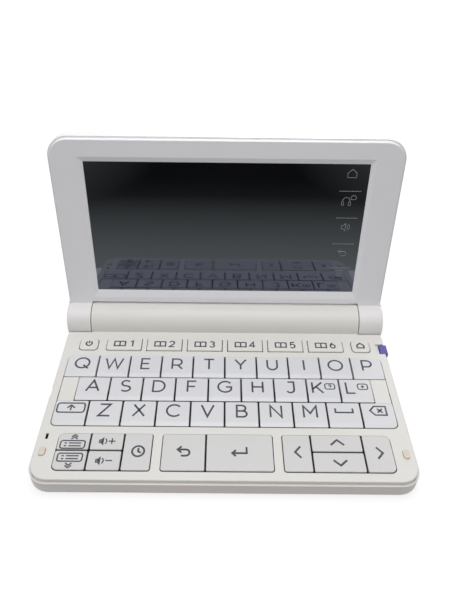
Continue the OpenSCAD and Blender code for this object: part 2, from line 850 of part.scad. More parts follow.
// Everything behind the lid's hinge end, drawn along X, with the lid's back edge rounded
module barrel_room() {
  translate([-knuckle_x, 0, 0])
    rotate([90, 0, 90])
      linear_extrude(2 * knuckle_x) {
        translate([wall_end - slot_w, 0])
          square([2 * barrel_r, lid_back_z + beyond]);
        translate([wall_end - slot_w - lid_end_round, lid_back_z - lid_end_round])
          difference() {
            square(lid_end_round + beyond);
            circle(lid_end_round);
          }
      }
}

module lid_cover() {
  color("white")
    on_lid()
      difference() {
        union() {
          difference() {
            union() {
              swept(half_w, front_y, hinge_y, lid_corner)
                edge_profile(lid_corner, lid_seam_z, lid_back_z, lid_round, 1);
              slab_core(half_w, front_y, hinge_y, lid_corner, lid_seam_z, lid_back_z);
            }
            swept(half_w - wall, front_y + wall, cavity_rear, lid_corner - wall)
              edge_profile(lid_corner - wall, 0, lid_back_z - lid_wall, 1, 1);
            slab_core(half_w - wall, front_y + wall, cavity_rear, lid_corner - wall,
              0, lid_back_z - lid_wall);
          }
          // Ribs that hold the display against the glass
          for (y = lid_rib_spots)
            translate([-lid_rib_half, y, lcd_z + lcd_t])
              cube([2 * lid_rib_half, rib_t, lid_back_z - lid_wall - lcd_z - lcd_t + lap]);
          for (side = [0, 1])
            mirror([side, 0, 0])
              knuckle();
        }
        barrel_room();
        for (side = [0, 1])
          mirror([side, 0, 0])
            translate([0, hinge_y, hinge_z])
              along_x(pin_r + running_gap, pin_start + pin_len - knuckle_x + beyond,
                knuckle_x - beyond / 2);
      }
}

module lid_bezel() {
  face_corner = lid_corner - seam_step;
  skirt = lid_corner - wall - fit_gap;
  color("white")
    on_lid()
      difference() {
        union() {
          swept(half_w - seam_step, front_y + seam_step, wall_end, face_corner)
            edge_profile(face_corner, lid_face_z, lid_seam_z, face_round, 0);
          swept(half_w - seam_step, front_y + seam_step, cavity_rear - fit_gap, face_corner)
            translate([skirt - rib_t, lid_seam_z - lap])
              square([rib_t, rib_t + lap]);
          slab_core(half_w - seam_step, front_y + seam_step, wall_end, face_corner,
            lid_face_z, lid_seam_z);
        }
        barrel_room();
        // Screen window with its sloped frame
        hull() {
          translate([-screen_w / 2 - bevel_w, screen_front - bevel_w, lid_face_z - lap])
            cube([screen_w + 2 * bevel_w, screen_h + bevel_w + bevel_low, lap]);
          translate([-screen_w / 2, screen_front, glass_z])
            cube([screen_w, screen_h, 0.01]);
        }
        translate([-screen_w / 2 - glass_lap - fit_gap, screen_front - glass_lap - fit_gap, glass_z])
          cube([screen_w + 2 * (glass_lap + fit_gap), screen_h + 2 * (glass_lap + fit_gap), 2]);
      }
}

module touch_glass() {
  color("black")
    on_lid()
      translate([-screen_w / 2 - glass_lap, screen_front - glass_lap, glass_z])
        cube([screen_w + 2 * glass_lap, screen_h + 2 * glass_lap, glass_t]);
}

module lcd_panel() {
  color("dimgray")
    on_lid()
      translate([-screen_w / 2 - 1, screen_front - 1, lcd_z])
        cube([screen_w + 2, screen_h + 2, lcd_t]);
}

lower_case();
top_case();
battery_cover();
batteries();
battery_contacts();
circuit_board();
key_sheet();
speaker();
case_screws();
rubber_feet();
lid_pads();
hinge_pins();
stylus();
lid_cover();
lid_bezel();
lcd_panel();
touch_glass();
shortcut_keys();
for (cell = single_cells)
  key(cell);
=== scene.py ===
import bpy
import json
import math
from mathutils import Matrix, Vector


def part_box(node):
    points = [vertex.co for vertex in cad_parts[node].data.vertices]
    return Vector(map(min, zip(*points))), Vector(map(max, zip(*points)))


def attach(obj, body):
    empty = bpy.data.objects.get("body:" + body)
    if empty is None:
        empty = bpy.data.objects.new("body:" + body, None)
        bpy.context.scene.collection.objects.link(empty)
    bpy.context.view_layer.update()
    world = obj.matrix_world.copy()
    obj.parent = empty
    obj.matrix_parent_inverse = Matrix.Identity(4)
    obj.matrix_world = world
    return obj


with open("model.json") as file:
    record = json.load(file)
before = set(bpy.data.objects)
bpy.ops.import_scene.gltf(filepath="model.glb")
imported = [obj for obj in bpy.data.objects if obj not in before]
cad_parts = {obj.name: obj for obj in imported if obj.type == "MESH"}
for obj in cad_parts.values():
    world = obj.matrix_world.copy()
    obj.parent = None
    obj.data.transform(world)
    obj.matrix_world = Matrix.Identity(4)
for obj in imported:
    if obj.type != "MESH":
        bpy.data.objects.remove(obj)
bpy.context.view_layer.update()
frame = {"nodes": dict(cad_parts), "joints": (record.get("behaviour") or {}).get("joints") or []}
nodes = frame["nodes"]
joints = {joint["name"]: joint for joint in frame["joints"]}
mm = 0.001
print("frame loaded:", len(nodes), "nodes")


# Small helpers

def linear(hexText):  # sRGB hex to the linear colour that the shaders take
    parts = [int(hexText[i:i + 2], 16) / 255 for i in (1, 3, 5)]
    return [p / 12.92 if p <= 0.04045 else ((p + 0.055) / 1.055) ** 2.4 for p in parts] + [1.0]


def addNode(tree, kind, inputs=None, **settings):  # a node with its settings, values and links
    node = tree.nodes.new(kind)
    for name, value in settings.items():
        setattr(node, name, value)
    for socket, value in (inputs or {}).items():
        if isinstance(value, bpy.types.NodeSocket):
            tree.links.new(value, node.inputs[socket])
        else:
            node.inputs[socket].default_value = value
    return node


def newMaterial(name):  # a bare material, its tree and the place on the object
    material = bpy.data.materials.new(name)
    material.use_nodes = True
    tree = material.node_tree
    tree.nodes.clear()
    return material, tree, addNode(tree, "ShaderNodeTexCoord").outputs["Object"]


def dress(names, material):  # gives the CAD nodes their finish
    for name in names:
        for slot in nodes[name].material_slots:
            slot.material = material


def placeAt(x, y, z):  # a place in millimetres
    return Matrix.Translation(Vector((x, y, z)) * mm)


# Finishes. A Mix node takes its two colours in sockets 6 and 7 and gives its colour in socket 2.

def gapShaded(tree, place, colour, shadeTop):  # the colour, darkened by painted shade on the walls of the gaps between the keys, below the given height
    at = addNode(tree, "ShaderNodeSeparateXYZ", {"Vector": place}).outputs
    depth = addNode(tree, "ShaderNodeMapRange", {"Value": at["Z"], "From Min": shadeTop * mm,
                                                 "From Max": (shadeTop - plastic["gapShadeFadeMm"]) * mm})
    aside = addNode(tree, "ShaderNodeMath", {0: at["X"]}, operation="ABSOLUTE")
    within = addNode(tree, "ShaderNodeMath", {0: aside.outputs["Value"], 1: keyField["half"] * mm},
                     operation="LESS_THAN")
    back = addNode(tree, "ShaderNodeMath", {0: at["Y"], 1: keyField["middle"] * mm,
                                            2: keyField["reach"] * mm}, operation="COMPARE")
    inField = addNode(tree, "ShaderNodeMath", {0: within.outputs["Value"], 1: back.outputs["Value"]},
                      operation="MULTIPLY")
    # Painted shade: the colour darkens towards the bottom of the gap walls inside the key field
    gapShade = addNode(tree, "ShaderNodeMath", {0: depth.outputs["Result"], 1: inField.outputs["Value"]},
                   operation="MULTIPLY")
    return addNode(tree, "ShaderNodeMix", {"Factor": gapShade.outputs["Value"], 6: colour,
                                           7: linear(plastic["gapShade"])}, data_type="RGBA").outputs[2]


def mouldedPlastic(name, finish):
    # Injection-moulded ABS, and with its own numbers also soft rubber: two close tones drift over
    # centimetres, a fine spark-eroded grain breaks up the gloss, and a faint long wave keeps large faces
    # from looking machined. Round the keys, painted shade darkens the walls of the gaps, below the
    # height that the finish names.
    material, tree, place = newMaterial(name)
    drift = addNode(tree, "ShaderNodeTexNoise", {"Vector": place, "Scale": 1 / (finish["driftMm"] * mm),
                                                 "Detail": 3.0, "Roughness": 0.55})
    colour = addNode(tree, "ShaderNodeMix", {
        "Factor": drift.outputs["Fac"], 6: linear(finish["colour"]), 7: linear(finish["shade"])},
        data_type="RGBA").outputs[2]
    if "gapShadeBelow" in finish:
        colour = gapShaded(tree, place, colour, finish["gapShadeBelow"])
    grain = addNode(tree, "ShaderNodeTexNoise", {"Vector": place, "Scale": 1 / (finish["grainMm"] * mm),
                                                 "Detail": 2.0, "Roughness": 0.6})
    wave = addNode(tree, "ShaderNodeTexNoise", {"Vector": place, "Scale": 1 / (plastic["waveMm"] * mm),
                                                "Detail": 1.0})
    ripple = addNode(tree, "ShaderNodeBump", {"Height": wave.outputs["Fac"],
                                              "Strength": plastic["waveStrength"],
                                              "Distance": plastic["waveDepthMm"] * mm})
    bump = addNode(tree, "ShaderNodeBump", {"Height": grain.outputs["Fac"], "Strength": finish["bump"],
                                            "Distance": plastic["grainDepthMm"] * mm,
                                            "Normal": ripple.outputs["Normal"]})
    gloss = addNode(tree, "ShaderNodeMapRange", {"Value": grain.outputs["Fac"],
                                                 "To Min": finish["roughness"] - plastic["smoother"],
                                                 "To Max": finish["roughness"] + plastic["rougher"]})
    skin = addNode(tree, "ShaderNodeBsdfPrincipled", {
        "Base Color": colour, "Roughness": gloss.outputs["Result"], "Normal": bump.outputs["Normal"],
        "IOR": plastic["index"], "Specular IOR Level": finish["specular"]})
    addNode(tree, "ShaderNodeOutputMaterial", {"Surface": skin.outputs["BSDF"]})
    return material


# The darkest colour and its fade depth paint shade onto the walls of the gaps round the keys
plastic = {"index": 1.53, "waveMm": 22, "waveStrength": 0.12, "waveDepthMm": 0.1, "grainDepthMm": 0.02,
           "smoother": 0.05, "rougher": 0.07, "gapShade": "#5d5b58", "gapShadeFadeMm": 0.5}
keyField = {"half": 71.5, "middle": -31.5, "reach": 20.5}  # where the keys are, in millimetres
# A finish's height for the gaps is where painted shade starts to darken the walls of the gaps round the
# keys
deckFinish = {"colour": "#dedcd8", "shade": "#d9d7d2", "driftMm": 30, "grainMm": 0.5, "roughness": 0.42,
              "bump": 0.2, "specular": 0.45, "gapShadeBelow": 8.85}
# Painted light: the lower case is warmer and lighter than the deck, standing in for pinkish light from the
# table and the highlight along its lip
trayFinish = {"colour": "#e6e1df", "shade": "#e1dcda", "driftMm": 30, "grainMm": 0.5, "roughness": 0.42,
              "bump": 0.2, "specular": 0.45}
lidFinish = {"colour": "#e4e2e1", "shade": "#dfdddd", "driftMm": 34, "grainMm": 0.5, "roughness": 0.36,
             "bump": 0.15, "specular": 0.5}
# Painted light: the bezel's tone, lighter and cooler than the lid's, stands in for the cool light that
# falls on it
bezelFinish = {"colour": "#ecebef", "shade": "#e7e6eb", "driftMm": 30, "grainMm": 0.5, "roughness": 0.44,
               "bump": 0.2, "specular": 0.45}
whiteKeyFinish = dict(deckFinish, gapShadeBelow=9.15)
letterKeyFinish = {"colour": "#d8d8db", "shade": "#d3d3d6", "driftMm": 12, "grainMm": 0.35,
                   "roughness": 0.4, "bump": 0.15, "specular": 0.5, "gapShadeBelow": 9.1}
lowerKeyFinish = {"colour": "#d1d0d0", "shade": "#cccbca", "driftMm": 12, "grainMm": 0.35,
                  "roughness": 0.42, "bump": 0.15, "specular": 0.5, "gapShadeBelow": 9.15}
stylusFinish = {"colour": "#5b56a4", "shade": "#524d9a", "driftMm": 10, "grainMm": 0.4, "roughness": 0.25,
                "bump": 0.05, "specular": 0.5}
padFinish = {"colour": "#dcd3c6", "shade": "#d2c8ba", "driftMm": 3, "grainMm": 0.3, "roughness": 0.75,
             "bump": 0.3, "specular": 0.3}
footFinish = {"colour": "#bdb9b2", "shade": "#b0aca5", "driftMm": 5, "grainMm": 0.3, "roughness": 0.8,
              "bump": 0.4, "specular": 0.3}
# Painted shade: the key sheet is made dark so that the gaps between the keys look deep
shadeDarkSheetFinish = {"colour": "#3c3c40", "shade": "#343438", "driftMm": 8, "grainMm": 0.4, "roughness": 0.7,
               "bump": 0.2, "specular": 0.3}


def nickelPlate(name):
    # Nickel-plated steel: drawn along its length, so fine streaks vary the gloss
    steel = {"colour": "#c9c7c2", "streakMm": (0.5, 0.05, 0.05), "smooth": 0.2, "rough": 0.38}
    material, tree, place = newMaterial(name)
    drawn = addNode(tree, "ShaderNodeMapping", {"Vector": place,
                                                "Scale": [1 / (size * mm) for size in steel["streakMm"]]})
    streaks = addNode(tree, "ShaderNodeTexNoise", {"Vector": drawn.outputs["Vector"], "Scale": 1.0,
                                                   "Detail": 2.0})
    gloss = addNode(tree, "ShaderNodeMapRange", {"Value": streaks.outputs["Fac"], "To Min": steel["smooth"],
                                                 "To Max": steel["rough"]})
    skin = addNode(tree, "ShaderNodeBsdfPrincipled", {
        "Base Color": linear(steel["colour"]), "Metallic": 1.0, "Roughness": gloss.outputs["Result"]})
    addNode(tree, "ShaderNodeOutputMaterial", {"Surface": skin.outputs["BSDF"]})
    return material


def solderResist(name):
    # Green solder resist over copper tracks, which show as lighter lines
    resist = {"pitchMm": 4, "trackShare": 0.05, "colour": "#14402a", "shade": "#113a25", "track": "#1f5a3a",
              "roughness": 0.35}
    material, tree, place = newMaterial(name)
    tracks = addNode(tree, "ShaderNodeTexBrick", {
        "Vector": place, "Scale": 1 / (resist["pitchMm"] * mm), "Mortar Size": resist["trackShare"],
        "Color1": linear(resist["colour"]), "Color2": linear(resist["shade"]),
        "Mortar": linear(resist["track"])})
    skin = addNode(tree, "ShaderNodeBsdfPrincipled", {
        "Base Color": tracks.outputs["Color"], "Roughness": resist["roughness"]})
    addNode(tree, "ShaderNodeOutputMaterial", {"Surface": skin.outputs["BSDF"]})
    return material


def cellSleeve(name):
    # A plain printed sleeve, dark at the body with a lighter grey band at one end of each cell
    sleeve = {"cellMm": 50.6, "bandFromMm": 36, "dark": "#2b2d31", "band": "#85888d", "metallic": 0.6,
              "roughness": 0.3}
    material, tree, place = newMaterial(name)
    at = addNode(tree, "ShaderNodeSeparateXYZ", {"Vector": place}).outputs
    onCell = addNode(tree, "ShaderNodeMath", {0: at["X"], 1: sleeve["cellMm"] * mm},
                     operation="FLOORED_MODULO")
    inBand = addNode(tree, "ShaderNodeMath", {0: onCell.outputs["Value"], 1: sleeve["bandFromMm"] * mm},
                     operation="GREATER_THAN")
    tone = addNode(tree, "ShaderNodeMix", {"Factor": inBand.outputs["Value"], 6: linear(sleeve["dark"]),
                                           7: linear(sleeve["band"])}, data_type="RGBA")
    skin = addNode(tree, "ShaderNodeBsdfPrincipled", {
        "Base Color": tone.outputs[2], "Metallic": sleeve["metallic"], "Roughness": sleeve["roughness"]})
    addNode(tree, "ShaderNodeOutputMaterial", {"Surface": skin.outputs["BSDF"]})
    return material


def touchGlass(name):
    # Toughened glass over a touch film and a switched-off liquid crystal panel: near black, and its layers
    # together mirror about a sixth of what stands before it, which an index of 2.32 gives, slightly blue
    # from the polariser. Faint finger haze widens the reflection in patches.
    glass = {"dark": "#0b0c0f", "light": "#101114", "hazeMm": 26, "hazeFrom": 0.35, "hazeTo": 0.75,
             "clear": 0.03, "hazy": 0.08, "index": 2.32, "tint": "#dbe4ff"}
    material, tree, place = newMaterial(name)
    haze = addNode(tree, "ShaderNodeTexNoise", {"Vector": place, "Scale": 1 / (glass["hazeMm"] * mm),
                                                "Detail": 4.0})
    gloss = addNode(tree, "ShaderNodeMapRange", {
        "Value": haze.outputs["Fac"], "From Min": glass["hazeFrom"], "From Max": glass["hazeTo"],
        "To Min": glass["clear"], "To Max": glass["hazy"]})
    tone = addNode(tree, "ShaderNodeMix", {"Factor": haze.outputs["Fac"], 6: linear(glass["dark"]),
                                           7: linear(glass["light"])}, data_type="RGBA")
    skin = addNode(tree, "ShaderNodeBsdfPrincipled", {
        "Base Color": tone.outputs[2], "Roughness": gloss.outputs["Result"], "IOR": glass["index"],
        "Specular Tint": linear(glass["tint"])})
    addNode(tree, "ShaderNodeOutputMaterial", {"Surface": skin.outputs["BSDF"]})
    return material


def padPrint(name, inkHex, paleHex):
    # Pad-printed ink: matt, thin, a little uneven where it took less
    ink = {"patchMm": 1.2, "roughness": 0.55}
    material, tree, place = newMaterial(name)
    uneven = addNode(tree, "ShaderNodeTexNoise", {"Vector": place, "Scale": 1 / (ink["patchMm"] * mm),
                                                  "Detail": 2.0})
    tone = addNode(tree, "ShaderNodeMix", {"Factor": uneven.outputs["Fac"], 6: linear(inkHex),
                                           7: linear(paleHex)}, data_type="RGBA")
    skin = addNode(tree, "ShaderNodeBsdfPrincipled", {
        "Base Color": tone.outputs[2], "Roughness": ink["roughness"]})
    addNode(tree, "ShaderNodeOutputMaterial", {"Surface": skin.outputs["BSDF"]})
    return material


def blackSteel(name):
    # Pressed steel with black oxide: dull, with a slow variation in gloss
    steel = {"colour": "#2a2a2c", "metallic": 0.8, "patchMm": 4, "smooth": 0.4, "rough": 0.6}
    material, tree, place = newMaterial(name)
    patch = addNode(tree, "ShaderNodeTexNoise", {"Vector": place, "Scale": 1 / (steel["patchMm"] * mm)})
    gloss = addNode(tree, "ShaderNodeMapRange", {"Value": patch.outputs["Fac"], "To Min": steel["smooth"],
                                                 "To Max": steel["rough"]})
    skin = addNode(tree, "ShaderNodeBsdfPrincipled", {
        "Base Color": linear(steel["colour"]), "Metallic": steel["metallic"],
        "Roughness": gloss.outputs["Result"]})
    addNode(tree, "ShaderNodeOutputMaterial", {"Surface": skin.outputs["BSDF"]})
    return material


letterKeys = ["key_" + name for name in [*"qwertyuiopasdfghjklzxcvbnm", "shift", "space", "delete"]]
lowerKeys = ["key_" + name for name in ("previous", "next", "volume_up", "volume_down", "history", "back",
                                        "enter", "left", "up", "down", "right")]
whiteKeys = ["key_power", "key_home", "shortcut_keys"]
dress(["top_case", "battery_cover"], mouldedPlastic("sparkTexturedAbs", deckFinish))
dress(["lower_case"], mouldedPlastic("tableLitWarmAbs", trayFinish))
dress(whiteKeys, mouldedPlastic("whiteAbsKeycaps", whiteKeyFinish))
dress(["lid_cover"], mouldedPlastic("satinLidAbs", lidFinish))
dress(["lid_bezel"], mouldedPlastic("bezelAbsCoolLitTone", bezelFinish))
dress(letterKeys, mouldedPlastic("pearlPaintedKeycaps", letterKeyFinish))
dress(lowerKeys, mouldedPlastic("greyPaintedKeycaps", lowerKeyFinish))
dress(["stylus"], mouldedPlastic("violetAbs", stylusFinish))
dress(["lid_pads"], mouldedPlastic("paleTpePads", padFinish))
dress(["rubber_feet"], mouldedPlastic("greySiliconeFeet", footFinish))
# The dark key sheet is painted shade for the gaps between the keys
dress(["key_sheet"], mouldedPlastic("paintedShadeSilicone", shadeDarkSheetFinish))
dress(["case_screws", "battery_contacts", "hinge_pins"], nickelPlate("nickelPlatedSteel"))
dress(["circuit_board"], solderResist("greenSolderResist"))
dress(["batteries"], cellSleeve("printedCellSleeve"))
dress(["touch_glass", "lcd_panel"], touchGlass("switchedOffTouchGlass"))
dress(["speaker"], blackSteel("blackOxideSteel"))
print("finishes set")


# Printed marks. Each mark is a list of strokes, drawn in units of a capital letter's height with
# its lower left at (0, 0); a stroke is (points, closed).

def arc(x, y, rx, ry, start, end, steps=10):
    angles = [math.radians(start + (end - start) * i / steps) for i in range(steps + 1)]
    return [(x + rx * math.cos(a), y + ry * math.sin(a)) for a in angles]


def line(*points):
    return (list(points), False)


def ring(x, y, rx, ry):  # a closed ellipse of 24 points
    return (arc(x, y, rx, ry, 0, 345, 23), True)


def roundedBox(x0, y0, x1, y1, r):
    return (arc(x1 - r, y1 - r, r, r, 0, 90, 4) + arc(x0 + r, y1 - r, r, r, 90, 180, 4)
            + arc(x0 + r, y0 + r, r, r, 180, 270, 4) + arc(x1 - r, y0 + r, r, r, 270, 360, 4), True)


upperBowl = arc(0.40, 0.69, 0.31, 0.31, 90, -90)
letters = {
    "q": [ring(0.55, 0.5, 0.53, 0.5), line((0.64, 0.3), (1.04, -0.05))],
    "w": [line((0, 1), (0.33, 0), (0.65, 0.96), (0.97, 0), (1.3, 1))],
    "e": [line((0.62, 1), (0, 1), (0, 0), (0.64, 0)), line((0, 0.51), (0.56, 0.51))],
    "r": [([(0, 0), (0, 1)] + upperBowl + [(0, 0.38)], False), line((0.42, 0.38), (0.76, 0))],
    "t": [line((0, 1), (0.78, 1)), line((0.39, 1), (0.39, 0))],
    "y": [line((0, 1), (0.41, 0.44), (0.82, 1)), line((0.41, 0.44), (0.41, 0))],
    "u": [([(0, 1)] + arc(0.37, 0.37, 0.37, 0.37, 180, 360) + [(0.74, 1)], False)],
    "i": [line((0, 0), (0, 1))],
    "o": [ring(0.55, 0.5, 0.53, 0.5)],
    "p": [([(0, 0), (0, 1)] + upperBowl + [(0, 0.38)], False)],
    "a": [line((0, 0), (0.46, 1), (0.92, 0)), line((0.15, 0.32), (0.77, 0.32))],
    "s": [(arc(0.38, 0.75, 0.3, 0.25, 38, 262) + arc(0.38, 0.25, 0.34, 0.25, 82, -142), False)],
    "d": [([(0, 0), (0, 1)] + arc(0.34, 0.5, 0.5, 0.5, 90, -90, 14), True)],
    "f": [line((0.62, 1), (0, 1), (0, 0)), line((0, 0.5), (0.54, 0.5))],
    "g": [(arc(0.52, 0.5, 0.52, 0.5, 42, 325, 18) + [(0.96, 0.48), (0.56, 0.48)], False)],
    "h": [line((0, 0), (0, 1)), line((0.76, 0), (0.76, 1)), line((0, 0.51), (0.76, 0.51))],
    "j": [([(0.16, 1), (0.6, 1)] + arc(0.32, 0.28, 0.28, 0.28, 0, -150), False)],
    "k": [line((0, 0), (0, 1)), line((0.72, 1), (0, 0.34)), line((0.27, 0.58), (0.76, 0))],
    "l": [line((0, 1), (0, 0), (0.6, 0))],
    "z": [line((0.03, 1), (0.76, 1), (0, 0), (0.8, 0))],
    "x": [line((0.02, 1), (0.8, 0)), line((0.78, 1), (0, 0))],
    "c": [(arc(0.52, 0.5, 0.52, 0.5, 42, 318, 18), False)],
    "v": [line((0, 1), (0.43, 0), (0.86, 1))],
    "b": [([(0, 0), (0, 1)] + arc(0.36, 0.755, 0.26, 0.245, 90, -90)
           + arc(0.42, 0.255, 0.28, 0.255, 90, -90), True), line((0, 0.51), (0.38, 0.51))],
    "n": [line((0, 0), (0, 1), (0.78, 0), (0.78, 1))],
    "m": [line((0, 0), (0, 1), (0.46, 0.36), (0.92, 1), (0.92, 0))],
}
house = ([(0.1, 0), (0.1, 0.52), (0.6, 0.95), (1.1, 0.52), (1.1, 0)], True)
returnArrow = [line((0.32, 1), (0, 0.7), (0.32, 0.4)),
               ([(0, 0.7), (0.7, 0.7)] + arc(0.7, 0.4, 0.3, 0.3, 90, -90) + [(0.3, 0.1)], False)]
horn = [([(0, 0.3), (0, 0.7), (0.2, 0.7), (0.46, 0.95), (0.46, 0.05), (0.2, 0.3)], True)]
filledHorn = horn + [line((0.12, 0.5), (0.4, 0.5)), line((0.36, 0.24), (0.36, 0.76))]
waves = [(arc(0.5, 0.5, 0.22, 0.26, -55, 55, 6), False), (arc(0.5, 0.5, 0.42, 0.46, -55, 55, 8), False)]
listBars = [line((0.42, 0.68), (0.7, 0.68)), line((0.92, 0.68), (2.28, 0.68)),
            line((0.42, 0.32), (0.7, 0.32)), line((0.92, 0.32), (2.28, 0.32))]
signs = {
    "power": [(arc(0.5, 0.5, 0.46, 0.46, 125, 415, 16), False), line((0.5, 0.55), (0.5, 1.08))],
    "home": [house],
    "boxedArrow": [roundedBox(0, 0, 2.4, 1, 0.24), line((1.2, 0.22), (1.2, 0.76)),
                   line((0.86, 0.48), (1.2, 0.78), (1.54, 0.48))],
    "boxedList": [roundedBox(0, 0, 2.7, 1, 0.26)] + listBars,
    "spaceBar": [line((0, 0.5), (0, 0), (1.7, 0), (1.7, 0.5))],
    "rubOut": [([(0, 0.5), (0.42, 1), (1.5, 1), (1.5, 0), (0.42, 0)], True),
               line((0.68, 0.72), (1.16, 0.28)), line((1.16, 0.72), (0.68, 0.28))],
    "clock": [ring(0.5, 0.5, 0.5, 0.5), line((0.5, 0.82), (0.5, 0.47), (0.74, 0.36))],
    "back": returnArrow,
    "enter": [line((0.3, 0.7), (0, 0.4), (0.3, 0.1)), line((0, 0.4), (1.2, 0.4), (1.2, 1))],
    "chevronsUp": [line((0, 0), (0.5, 0.42), (1, 0)), line((0, 0.42), (0.5, 0.84), (1, 0.42))],
    "chevronsDown": [line((0, 0.42), (0.5, 0), (1, 0.42)), line((0, 0.84), (0.5, 0.42), (1, 0.84))],
    "horn": filledHorn + waves[1:],
    "plus": [line((0, 0.5), (1, 0.5)), line((0.5, 0), (0.5, 1))],
    "minus": [line((0, 0), (1, 0))],
    "left": [line((0.43, 1), (0, 0.5), (0.43, 0))],
    "right": [line((0, 1), (0.43, 0.5), (0, 0))],
    "up": [line((0, 0), (0.5, 0.44), (1, 0))],
    "down": [line((0, 0.44), (0.5, 0), (1, 0.44))],
    "boxedQuery": [roundedBox(0, 0, 1.4, 1, 0.3),
                   (arc(0.7, 0.62, 0.18, 0.16, 180, -60, 8) + [(0.7, 0.4)], False),
                   line((0.7, 0.26), (0.7, 0.18))],
    "boxedPlus": [roundedBox(0, 0, 1.4, 1, 0.3), line((0.45, 0.5), (0.95, 0.5)),
                  line((0.7, 0.25), (0.7, 0.75))],
    "book": [([(0, 0.9), (0, 0.1)] + arc(0.35, 0.02, 0.35, 0.12, 140, 40, 4) + [(0.7, 0.1)]
              + arc(1.05, 0.02, 0.35, 0.12, 140, 40, 4) + [(1.4, 0.1), (1.4, 0.9)]
              + arc(1.05, 0.82, 0.35, 0.12, 40, 140, 4) + [(0.7, 0.9)]
              + arc(0.35, 0.82, 0.35, 0.12, 40, 140, 4), True), line((0.7, 0.9), (0.7, 0.1))],
    "1": [line((0.1, 0.78), (0.36, 1), (0.36, 0))],
    "2": [(arc(0.33, 0.7, 0.31, 0.3, 165, -35, 9) + [(0, 0), (0.66, 0)], False)],
    "3": [(arc(0.3, 0.76, 0.27, 0.24, 150, -80, 9), False),
          (arc(0.3, 0.27, 0.31, 0.27, 85, -155, 9), False)],
    "4": [line((0.5, 0), (0.5, 1), (0, 0.27), (0.72, 0.27))],
    "5": [([(0.58, 1), (0.12, 1), (0.06, 0.54)] + arc(0.3, 0.32, 0.32, 0.32, 120, -150, 10), False)],
    "6": [ring(0.33, 0.31, 0.31, 0.31), (arc(0.62, 0.36, 0.6, 0.62, 118, 178, 6), False)],
    "headphones": [(arc(0.5, 0.45, 0.42, 0.5, 10, 170, 10), False), roundedBox(0, 0, 0.24, 0.45, 0.1),
                   roundedBox(0.76, 0, 1, 0.45, 0.1), ring(1.28, 0.92, 0.3, 0.24),
                   line((1.08, 0.75), (0.98, 0.62))],
    "speaker": horn + waves,
    "menu": [line((0, 0.95), (0.95, 0.95)), line((0, 0.5), (0.95, 0.5)), line((0, 0.05), (0.95, 0.05))],
    "divider": [line((0, 0), (1, 0))],
}
signs.update(letters)


def markMiddle(strokes):
    across, up = zip(*[point for points, closed in strokes for point in points])
    return (min(across) + max(across)) / 2, (min(up) + max(up)) / 2


mitreLimits = {"cosine": 0.3, "widest": 2.4}


def strokeMesh(name, marks):
    # marks holds (sign, middle x, middle y, size) in millimetres; the mitre attribute widens sharp corners
    vertices, edges, mitres = [], [], []
    for sign, midX, midY, size in marks:
        signX, signY = markMiddle(signs[sign])
        for points, closed in signs[sign]:
            first = len(vertices)
            count = len(points)
            for i, (x, y) in enumerate(points):
                vertices.append(((midX + (x - signX) * size) * mm, (midY + (y - signY) * size) * mm, 0))
                if closed or 0 < i < count - 1:
                    here, before, after = (Vector(points[j % count]) for j in (i, i - 1, i + 1))
                    into, out = here - before, after - here
                    half = into.angle(out) / 2 if into.length > 0 and out.length > 0 else 0
                    widening = 1 / max(math.cos(half), mitreLimits["cosine"])
                    mitres.append(min(widening, mitreLimits["widest"]))
                else:
                    mitres.append(1.0)
            edges += [(first + i, first + i + 1) for i in range(count - 1)]
            if closed:
                edges.append((first + count - 1, first))
    mesh = bpy.data.meshes.new(name)
    mesh.from_pydata(vertices, edges, [])
    layer = mesh.attributes.new("mitre", "FLOAT", "POINT")
    layer.data.foreach_set("value", mitres)
    return mesh


def inkTree():
    # Runs a thin flat ribbon of ink along every stroke
    tree = bpy.data.node_groups.new("inkRibbon", "GeometryNodeTree")
    tree.interface.new_socket("Strokes", in_out="INPUT", socket_type="NodeSocketGeometry")
    for label in ("Stroke Width", "Ink Thickness"):
        tree.interface.new_socket(label, in_out="INPUT", socket_type="NodeSocketFloat")
    tree.interface.new_socket("Ink", in_out="INPUT", socket_type="NodeSocketMaterial")
    tree.interface.new_socket("Ribbon", in_out="OUTPUT", socket_type="NodeSocketGeometry")
    given = addNode(tree, "NodeGroupInput").outputs
    curve = addNode(tree, "GeometryNodeMeshToCurve", {"Mesh": given["Strokes"]})
    upright = addNode(tree, "GeometryNodeSetCurveNormal", {"Curve": curve.outputs["Curve"]}, mode="Z_UP")
    mitre = addNode(tree, "GeometryNodeInputNamedAttribute", {"Name": "mitre"}, data_type="FLOAT")
    profile = addNode(tree, "GeometryNodeCurvePrimitiveQuadrilateral", {
        "Width": given["Stroke Width"], "Height": given["Ink Thickness"]})
    ribbon = addNode(tree, "GeometryNodeCurveToMesh", {
        "Curve": upright.outputs["Curve"], "Profile Curve": profile.outputs["Curve"],
        "Scale": mitre.outputs["Attribute"], "Fill Caps": True})
    real = addNode(tree, "GeometryNodeRealizeInstances", {"Geometry": ribbon.outputs["Mesh"]})
    inked = addNode(tree, "GeometryNodeSetMaterial", {"Geometry": real.outputs["Geometry"],
                                                      "Material": given["Ink"]})
    addNode(tree, "NodeGroupOutput", {"Ribbon": inked.outputs["Geometry"]})
    return tree


inkRibbon = inkTree()
inkThickness = 0.03


